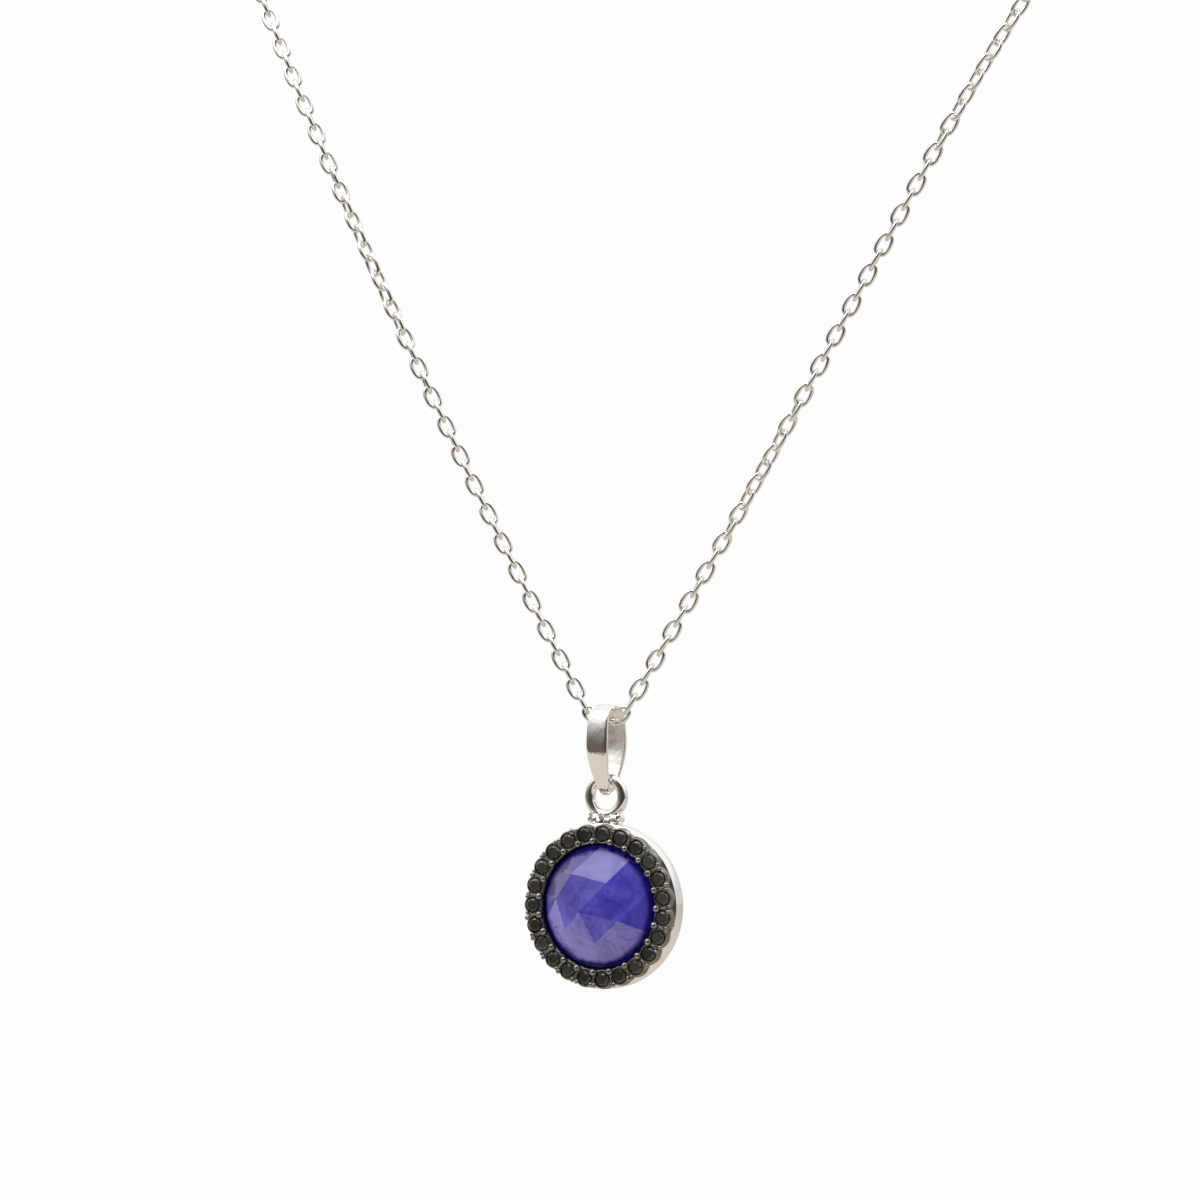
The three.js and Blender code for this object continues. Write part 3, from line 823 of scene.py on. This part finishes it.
def build_bail():
    """A folded strap, domed across its width, its ends curled together round the loop."""
    rows = bail_side(BAIL_ROWS)
    thick = np.interp(rows[:, 1] / MM, THICKNESS_HEIGHTS, THICKNESSES)[:, None] * MM
    middle = np.array([0.0, ARCH[2]])
    tangents = np.gradient(rows, axis=0)
    normals = np.stack([-tangents[:, 1], tangents[:, 0]], axis=1)
    normals /= np.linalg.norm(normals, axis=1)[:, None]
    inner_rows = rows - thick * normals
    inner_rows[:, 0] = np.maximum(inner_rows[:, 0], 0.0)
    # inside, the strap's ends meet just under the loop's wire
    floor_height = HINGE[2] - LOOP_WIRE - 0.18 * MM
    inner_rows[:, 1] = np.maximum(inner_rows[:, 1], floor_height)

    def half_width(z):
        return float(np.interp(z / MM, BAIL_HEIGHTS[::-1], BAIL_WIDTHS[::-1])) * MM

    def closed_loop(profile):
        front = [(-f, z) for f, z in profile]
        back = [(f, z) for f, z in profile[1:-1]][::-1]
        return front + back

    across = BAIL_COLUMNS
    rings = []
    for profile, crown in ((rows, BAIL_CROWN), (inner_rows, -0.01 * MM)):
        for (forward, z), (_, outer_z) in zip(closed_loop(profile), closed_loop(rows)):
            width = half_width(outer_z)
            away = unit(np.array([forward, z]) - middle)
            for j in range(across):
                u = 2 * j / (across - 1) - 1
                lift = -crown * u * u
                rings.append(
                    (u * width, HINGE[1] + forward + away[0] * lift, z + away[1] * lift)
                )
    count = len(closed_loop(rows))
    verts = np.array(rings)
    outside = grid_faces(count, across, True, False)
    inside = [tuple(i + count * across for i in face[::-1]) for face in outside]
    rim = []
    for i in range(count):
        k = (i + 1) % count
        for j in (0, across - 1):
            a = i * across + j
            b = k * across + j
            rim.append((a, b, b + count * across, a + count * across))
    shell = (verts, outside + inside + rim)
    strap = piece("bail_strap", [shell], STRAP_SILVER, "bail_body", ["bail"])
    # the polishing wheel cannot reach the inside, which stays satin
    strap.data.materials.append(SATIN_SILVER)
    inside_of = Vector((0, HINGE[1], bail_low[2] * 0.5 + bail_high[2] * 0.5))
    for face in strap.data.polygons:
        if abs(face.normal.x) < 0.5 and face.normal.dot(face.center - inside_of) < 0:
            face.material_index = 1
    bevelled(strap, 0.05 * MM, 3)
    # the ends of the strap are curled together into a small round knuckle
    knuckle_at = (HINGE[1] - 0.04 * MM, bail_low[2] + 0.33 * MM)
    knuckle_path = [(x * MM, *knuckle_at) for x in np.linspace(-KNUCKLE_HALF, KNUCKLE_HALF, 9)]
    knuckle = tube(knuckle_path, KNUCKLE_R, 22, rounded=True)
    piece("bail_knuckle", [knuckle], SILVER, "bail_body", [])


# ---------------------------------------------------------------- chain

WIRE_R = 0.145 * MM
# half a link's width, to the middle of its wire
LINK_HALF_WIDTH = 0.465 * MM
LINK_PITCH = 1.22 * MM
# room left between linked wires, so they can swing
LINK_SLACK = 0.09 * MM
LINK_SQUARENESS = 0.82
ROLL_JITTER = math.radians(3.5)
# the strands face the viewer up to here, and lie against the neck beyond the second distance
FACING_UP_TO = 62 * MM
NECK_FROM = 80 * MM
# where each strand has rolled an eighth of a turn: distance along it and how far that spreads
LEFT_ROLLS = ((37 * MM, 6 * MM),)
RIGHT_ROLLS = ((20 * MM, 4.5 * MM), (54 * MM, 7 * MM))


def link_part(centre, along, normal, pitch, around=26, sides=10):
    """An oval wire link from contact to contact, with a faint swelling where it is soldered."""
    along = unit(along)
    normal = unit(normal - np.dot(normal, along) * along)
    across = np.cross(normal, along)
    turn = (np.arange(around) + 0.5) * TAU / around
    # an oval a little squarer than an ellipse
    half = (pitch + LINK_SLACK) / 2 + WIRE_R
    x = half * np.sign(np.cos(turn)) * np.abs(np.cos(turn)) ** LINK_SQUARENESS
    y = LINK_HALF_WIDTH * np.sign(np.sin(turn)) * np.abs(np.sin(turn)) ** LINK_SQUARENESS
    path = centre + np.outer(x, along) + np.outer(y, across)
    seam = np.exp(-(((turn - TAU / 4) / 0.28) ** 2))
    return tube(path, WIRE_R * (1 + 0.1 * seam), sides, closed=True, up=normal)


def smooth_line(knots, per_span):
    """A natural cubic spline through the knots, per_span steps between each two."""
    knots = np.asarray(knots)
    gaps = np.linalg.norm(np.diff(knots, axis=0), axis=1)
    count = len(knots)
    matrix = np.eye(count)
    right = np.zeros((count, 3))
    for i in range(1, count - 1):
        matrix[i, i - 1 : i + 2] = gaps[i - 1], 2 * (gaps[i - 1] + gaps[i]), gaps[i]
        right[i] = 6 * (
            (knots[i + 1] - knots[i]) / gaps[i] - (knots[i] - knots[i - 1]) / gaps[i - 1]
        )
    bend = np.linalg.solve(matrix, right)
    spans = []
    for i, gap in enumerate(gaps):
        t = np.linspace(0, gap, per_span + 1)[:, None]
        s = gap - t
        spans.append(
            (bend[i] * s**3 + bend[i + 1] * t**3) / (6 * gap)
            + (knots[i] / gap - bend[i] * gap / 6) * s
            + (knots[i + 1] / gap - bend[i + 1] * gap / 6) * t
        )
    return spans


def evenly(points, parts):
    """parts + 1 points at equal distances along a fine line."""
    steps = np.concatenate([[0], np.cumsum(np.linalg.norm(np.diff(points, axis=0), axis=1))])
    at = np.linspace(0, steps[-1], parts + 1)
    return np.stack([np.interp(at, steps, points[:, k]) for k in range(3)], axis=1)


def line_length(points):
    return np.linalg.norm(np.diff(points, axis=0), axis=1).sum()


def eased(share):
    """0 up to a share of 0 and 1 from a share of 1, with a soft start and end between them."""
    share = min(max(share, 0.0), 1.0)
    return share * share * (3 - 2 * share)


def facing(side_on, outward, distance):
    """The direction the flat links face: the viewer first, then straight out from the neck."""
    share = eased((distance - FACING_UP_TO) / (NECK_FROM - FACING_UP_TO))
    return (1 - share) * side_on + share * outward


def twist(side, distance, total):
    """How far the chain has rolled about its own line, as real cable chain does."""
    roll = 0.0
    for place, spread in LEFT_ROLLS if side < 0 else RIGHT_ROLLS:
        roll += math.radians(45) * math.exp(-(((distance - place) / spread) ** 2))
    if side > 0:
        # a quarter turn, spread along the chain, so that the last link meets the end ring square on
        roll += math.radians(90) * eased((distance / total - 0.55) / 0.3)
    return roll


def build_chain():
    low, high = box("chain_centre_link")
    middle = (low + high) / 2
    centre_link = link_part(middle, (1, 0, 0), (0, 0, 1), LINK_PITCH, 40, 14)
    nodes = ["chain_centre_link"]
    piece("centre_link", [centre_link], CHAIN_SILVER, "chain_middle", nodes)
    neck = np.array([0.0, pivot("left_bend_end")[1] / 2, 0.0])
    viewer = np.array([*TOWARDS_CAMERA, 0.0])
    spans = sum(name.startswith("chain_left_span_") for name in frame["nodes"])
    for label, side in (("left", -1), ("right", 1)):
        first = middle + np.array([side * LINK_PITCH / 2, 0, 0])
        start = pivot(f"{label}_bend_1")
        rise = start - first
        link = link_part((first + start) / 2, rise, (0, 1, 0), np.linalg.norm(rise), 40, 14)
        piece(
            f"{label}_link_in_bail",
            [link],
            CHAIN_SILVER,
            f"{label}_first_link",
            [f"chain_{label}_first_link"],
        )
        last = pivot(f"{label}_bend_end") + np.array([side * WIRE_R, 0, 0])
        knots = [pivot(f"{label}_bend_{k}") for k in range(1, spans + 1)] + [last]
        lines = smooth_line(knots, 60)
        total = sum(line_length(line) for line in lines)
        travelled = 0.0
        number = 2
        for k, line in enumerate(lines, start=1):
            length = line_length(line)
            count = round(length / LINK_PITCH)
            contacts = evenly(line, count)
            links = []
            for i in range(count):
                a = contacts[i]
                b = contacts[i + 1]
                along = unit(b - a)
                centre = (a + b) / 2
                outward = centre - neck
                outward[2] = 0
                distance = travelled + length * (i + 0.5) / count
                outward = facing(viewer, unit(outward), distance)
                outward = unit(outward - np.dot(outward, along) * along)
                roll = twist(side, distance, total)
                roll += 0 if number % 2 else math.pi / 2
                roll += rng.normal(0, ROLL_JITTER)
                inward = np.cross(along, outward)
                normal = math.cos(roll) * outward + math.sin(roll) * inward
                links.append(link_part(centre, along, normal, np.linalg.norm(b - a)))
                number += 1
            travelled += length
            piece(
                f"{label}_links_{k}",
                links,
                CHAIN_SILVER,
                f"{label}_span_{k}",
                [f"chain_{label}_span_{k}"],
            )


# ---------------------------------------------------------------- clasp
# Angles round the clasp's ring start at the side away from the eyelet and rise.

GATE_FROM = math.radians(-28)
GATE_SWEEP = math.radians(62)
TAB_AT = math.radians(52)
TAB_TRAVEL = math.radians(48)
# the slot for the tab is longer than its travel by this much at each end
SLOT_ROOM = 0.15
TUBE_ROWS = 150
TUBE_SIDES = 32
TUBE_WALL = 0.16 * MM
# the tube's radius between its collars, as a share of the solid one's
TUBE_SHARE = 0.99
BOLT_R = 0.34 * MM
EYELET_R = 0.72 * MM
RING_WIRE = 0.2 * MM
# the tab's radii from its foot to the end of its head, in millimetres
TAB_RADII = (0.13, 0.13, 0.13, 0.13, 0.14, 0.16, 0.18, 0.2, 0.22, 0.23, 0.23, 0.22, 0.19, 0.12)
SPRING_GAP = 0.04
COILS = 9
POINTS_PER_COIL = 40
COIL_R = 0.24 * MM
COIL_WIRE = 0.035 * MM
COIL_SWEEP = math.radians(54)


def spoke(angle):
    """The direction outwards from the middle of the clasp's ring."""
    return np.array([math.cos(angle), 0, math.sin(angle)])


def round_section(radial, angle):
    """The direction outwards from the middle of the tube, where radial leaves the ring."""
    return radial * math.cos(angle) + np.array([0, 1, 0]) * math.sin(angle)


def build_clasp():
    centre = pivot("bolt_slide")
    low, high = box("clasp_body")
    tube_r = (high[1] - low[1]) / 2
    ring_r = (high[2] - low[2]) / 2 - tube_r
    start = GATE_FROM + GATE_SWEEP
    sweep = TAU - GATE_SWEEP
    slot_from = TAB_AT - SLOT_ROOM
    slot_to = TAB_AT + TAB_TRAVEL + SLOT_ROOM
    around = TUBE_ROWS
    sides = TUBE_SIDES
    rows = []
    for i in range(around + 1):
        a = start + sweep * i / around
        radial = spoke(a)
        # a small collar at each mouth of the tube
        end = min(i, around - i) / around * sweep * ring_r
        swell = 1.0 + 0.07 * math.exp(-((end / (0.25 * MM)) ** 4))
        for j in range(sides):
            out = round_section(radial, TAU * j / sides)
            rows.append(centre + radial * ring_r + out * tube_r * swell * TUBE_SHARE)
    faces = []
    for face in grid_faces(around + 1, sides, False, True):
        i, j = divmod(face[0], sides)
        a = start + sweep * (i + 0.5) / around
        section = (j + 0.5) / sides
        in_slot = min(section, 1 - section) < 1.6 / sides + 0.02
        if slot_from < a < slot_to and in_slot:
            continue
        faces.append(face)
    skin = (np.array(rows), faces)
    shell = piece("clasp_tube", [skin], SILVER, "clasp", ["clasp_body"])
    wall = shell.modifiers.new("wall", "SOLIDIFY")
    wall.thickness = TUBE_WALL
    wall.offset = -1
    eyelet_at = np.array([low[0] + EYELET_R + RING_WIRE, centre[1], centre[2]])
    eyelet = ring(eyelet_at, EYELET_R, RING_WIRE, (0, 1, 0), 48, 16)
    piece("clasp_eyelet", [eyelet], SILVER, "clasp", [])

    # shut, the bolt crosses the gate and reaches into the tube at both ends
    nose = GATE_FROM - math.radians(7)
    tail = start + math.radians(38)
    turns = np.linspace(nose, tail, 60)
    path = [centre + ring_r * spoke(a) for a in turns]
    rod = tube(path, BOLT_R, 20, up=(0, 1, 0), rounded=True)
    outward = spoke(TAB_AT)
    reaches = np.linspace(0.1, 0.98, len(TAB_RADII))
    tab_path = [centre + outward * (ring_r + reach * MM) for reach in reaches]
    tab = tube(tab_path, np.array(TAB_RADII) * MM, 18, up=(0, 1, 0))
    piece("clasp_slide", [rod, tab], SILVER, "bolt", ["clasp_bolt"])

    spring_start = tail + SPRING_GAP
    spring_end = spring_start + COIL_SWEEP
    spring_turns = np.linspace(spring_start, spring_end, POINTS_PER_COIL * COILS)
    phase = np.linspace(0, COILS * TAU, len(spring_turns))
    coil = []
    for a, b in zip(spring_turns, phase):
        radial = spoke(a)
        coil.append(centre + radial * ring_r + round_section(radial, b) * COIL_R)
    spring = tube(coil, COIL_WIRE, 8)
    coil_piece = piece("clasp_coil", [spring], CAST_SILVER, None, ["clasp_spring"])
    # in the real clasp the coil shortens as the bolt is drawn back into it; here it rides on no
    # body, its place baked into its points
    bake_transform(coil_piece)

    low, high = box("clasp_jump_ring")
    middle = (low + high) / 2
    radius = (high[0] - low[0]) / 2 - RING_WIRE
    jump = ring(middle, radius, RING_WIRE, (0, 0, 1), 64, 18)
    piece("jump_wire", [jump], SILVER, "jump_ring", ["clasp_jump_ring"])

    low, high = box("end_ring")
    middle = (low + high) / 2
    wire = (high[1] - low[1]) / 2
    radius = (high[0] - low[0]) / 2 - wire
    end = ring(middle, radius, wire, (0, 1, 0), 72, 20)
    piece("end_wire", [end], SILVER, "end_ring_body", ["end_ring"])


# ---------------------------------------------------------------- stage


CAMERA_DISTANCE = 1.1
FRAME_WIDTH = 86.3 * MM
SENSOR_MM = 36
AIM_ABOVE_PENDANT = 22.05 * MM
AIM_RIGHT_OF_PENDANT = 0.22 * MM
FLOOR_DROP = 160 * MM
TENT_ABOVE = (1.0, 0.995, 0.985)
TENT_BEHIND = (0.68, 0.675, 0.65)
TENT_SKIRT = (0.5, 0.485, 0.46)
TENT_FRONT = (0.135, 0.12, 0.1)
CAMERA_DARK = (0.055, 0.052, 0.048)
FLOOR_FRONT = -0.42
FLOOR_HALF = 30.0
FLOOR_COLOUR = (0.6, 0.555, 0.5)
FLOOR_PATCHES = tuple(1.04 * c for c in FLOOR_COLOUR)
WHITE = (0.985, 0.985, 0.985)
# name, place, width and power in watts
SOFTBOXES = (
    ("key_softbox", (-0.35, -0.5, 0.75), 0.6, 2.4),
    ("top_softbox", (0.25, 0.1, 0.9), 0.7, 1.4),
)


def build_floor():
    level = CAD_BOX[0][2] - FLOOR_DROP
    corners = [
        (-FLOOR_HALF, FLOOR_FRONT, level),
        (FLOOR_HALF, FLOOR_FRONT, level),
        (FLOOR_HALF, FLOOR_HALF, level),
        (-FLOOR_HALF, FLOOR_HALF, level),
    ]
    mesh = bpy.data.meshes.new("floor")
    mesh.from_pydata(corners, [], [(0, 1, 2, 3)])
    floor = bpy.data.objects.new("floor", mesh)
    bpy.context.scene.collection.objects.link(floor)
    look = Look("pale_floor")
    look.set(
        Base_Color=look.mix(look.noise(0.004, 3.0), FLOOR_COLOUR, FLOOR_PATCHES),
        Roughness=0.8,
        Specular_IOR_Level=0.1,
    )
    # the camera sees the sheet burnt out to white, as product pictures have it
    glow = look.add("ShaderNodeEmission")
    look.feed(glow.inputs["Color"], (1.0, 1.0, 1.0))
    paths = look.add("ShaderNodeLightPath")
    mixed = look.add("ShaderNodeMixShader")
    look.link(look.math("MULTIPLY", paths.outputs["Is Camera Ray"], 0.96), mixed.inputs[0])
    look.link(look.shader.outputs[0], mixed.inputs[1])
    look.link(glow.outputs[0], mixed.inputs[2])
    look.link(mixed.outputs[0], look.tree.nodes["Material Output"].inputs["Surface"])
    mesh.materials.append(look.material)


def build_studio():
    """A white tent, brighter above than behind, with a dark gap in front round the camera."""
    world = bpy.data.worlds.new("studio")
    world.use_nodes = True
    bpy.context.scene.world = world
    nodes, links = world.node_tree.nodes, world.node_tree.links
    split = nodes.new("ShaderNodeSeparateXYZ")
    coordinates = nodes.new("ShaderNodeTexCoord")
    links.new(coordinates.outputs["Generated"], split.inputs[0])

    def ramp(socket, low, high):
        node = nodes.new("ShaderNodeMapRange")
        node.interpolation_type = "SMOOTHSTEP"
        node.inputs["From Min"].default_value = low
        node.inputs["From Max"].default_value = high
        links.new(socket, node.inputs["Value"])
        return node.outputs["Result"]

    def mix(factor, one, other):
        node = nodes.new("ShaderNodeMix")
        node.data_type = "RGBA"
        links.new(factor, node.inputs["Factor"])
        for number, colour in ((MIX_COLOUR_A, one), (MIX_COLOUR_B, other)):
            if isinstance(colour, tuple):
                node.inputs[number].default_value = (*colour, 1)
            else:
                links.new(colour, node.inputs[number])
        return node.outputs[MIX_COLOUR_OUT]

    skirt = mix(ramp(split.outputs["Z"], -0.02, 0.26), TENT_FRONT, TENT_SKIRT)
    around = mix(ramp(split.outputs["Y"], -0.35, 0.2), skirt, TENT_BEHIND)
    canopy = mix(ramp(split.outputs["Z"], 0.18, 0.42), around, TENT_ABOVE)
    # the camera and whoever holds it fill part of the gap
    facing = nodes.new("ShaderNodeVectorMath")
    facing.operation = "DOT_PRODUCT"
    facing.inputs[1].default_value = (*TOWARDS_CAMERA, 0.05)
    links.new(coordinates.outputs["Generated"], facing.inputs[0])
    tent = mix(ramp(facing.outputs["Value"], 0.66, 0.86), canopy, CAMERA_DARK)
    paths = nodes.new("ShaderNodeLightPath")
    shown = mix(paths.outputs["Is Camera Ray"], tent, WHITE)
    links.new(shown, nodes["Background"].inputs["Color"])

    for name, place, size, power in SOFTBOXES:
        lamp = bpy.data.lights.new(name, "AREA")
        lamp.size = size
        lamp.energy = power
        lamp.color = (1.0, 0.985, 0.96)
        holder = bpy.data.objects.new(name, lamp)
        holder.location = place
        holder.rotation_euler = (-Vector(place)).to_track_quat("-Z", "Y").to_euler()
        bpy.context.scene.collection.objects.link(holder)


def build_camera():
    level = math.cos(ELEVATION)
    back = Vector((TOWARDS_CAMERA[0] * level, TOWARDS_CAMERA[1] * level, math.sin(ELEVATION)))
    right = Vector((math.cos(AZIMUTH), math.sin(AZIMUTH), 0))
    up = back.cross(right)
    face = Vector((0, -TABLE_DEPTH, 0))
    aim = face + right * AIM_RIGHT_OF_PENDANT + up * AIM_ABOVE_PENDANT
    lens = bpy.data.cameras.new("camera")
    lens.sensor_width = SENSOR_MM
    lens.lens = SENSOR_MM * CAMERA_DISTANCE / FRAME_WIDTH
    lens.clip_start = 0.01
    lens.clip_end = 200
    camera = bpy.data.objects.new("camera", lens)
    camera.location = aim + back * CAMERA_DISTANCE
    camera.rotation_mode = "QUATERNION"
    camera.rotation_quaternion = back.to_track_quat("Z", "Y")
    bpy.context.scene.collection.objects.link(camera)
    bpy.context.scene.camera = camera


bpy.context.scene.view_settings.view_transform = "Standard"
build_case()
build_halo()
build_halo_stones()
build_centre_stone()
build_loop()
build_bail()
build_chain()
build_clasp()
build_floor()
build_studio()
build_camera()
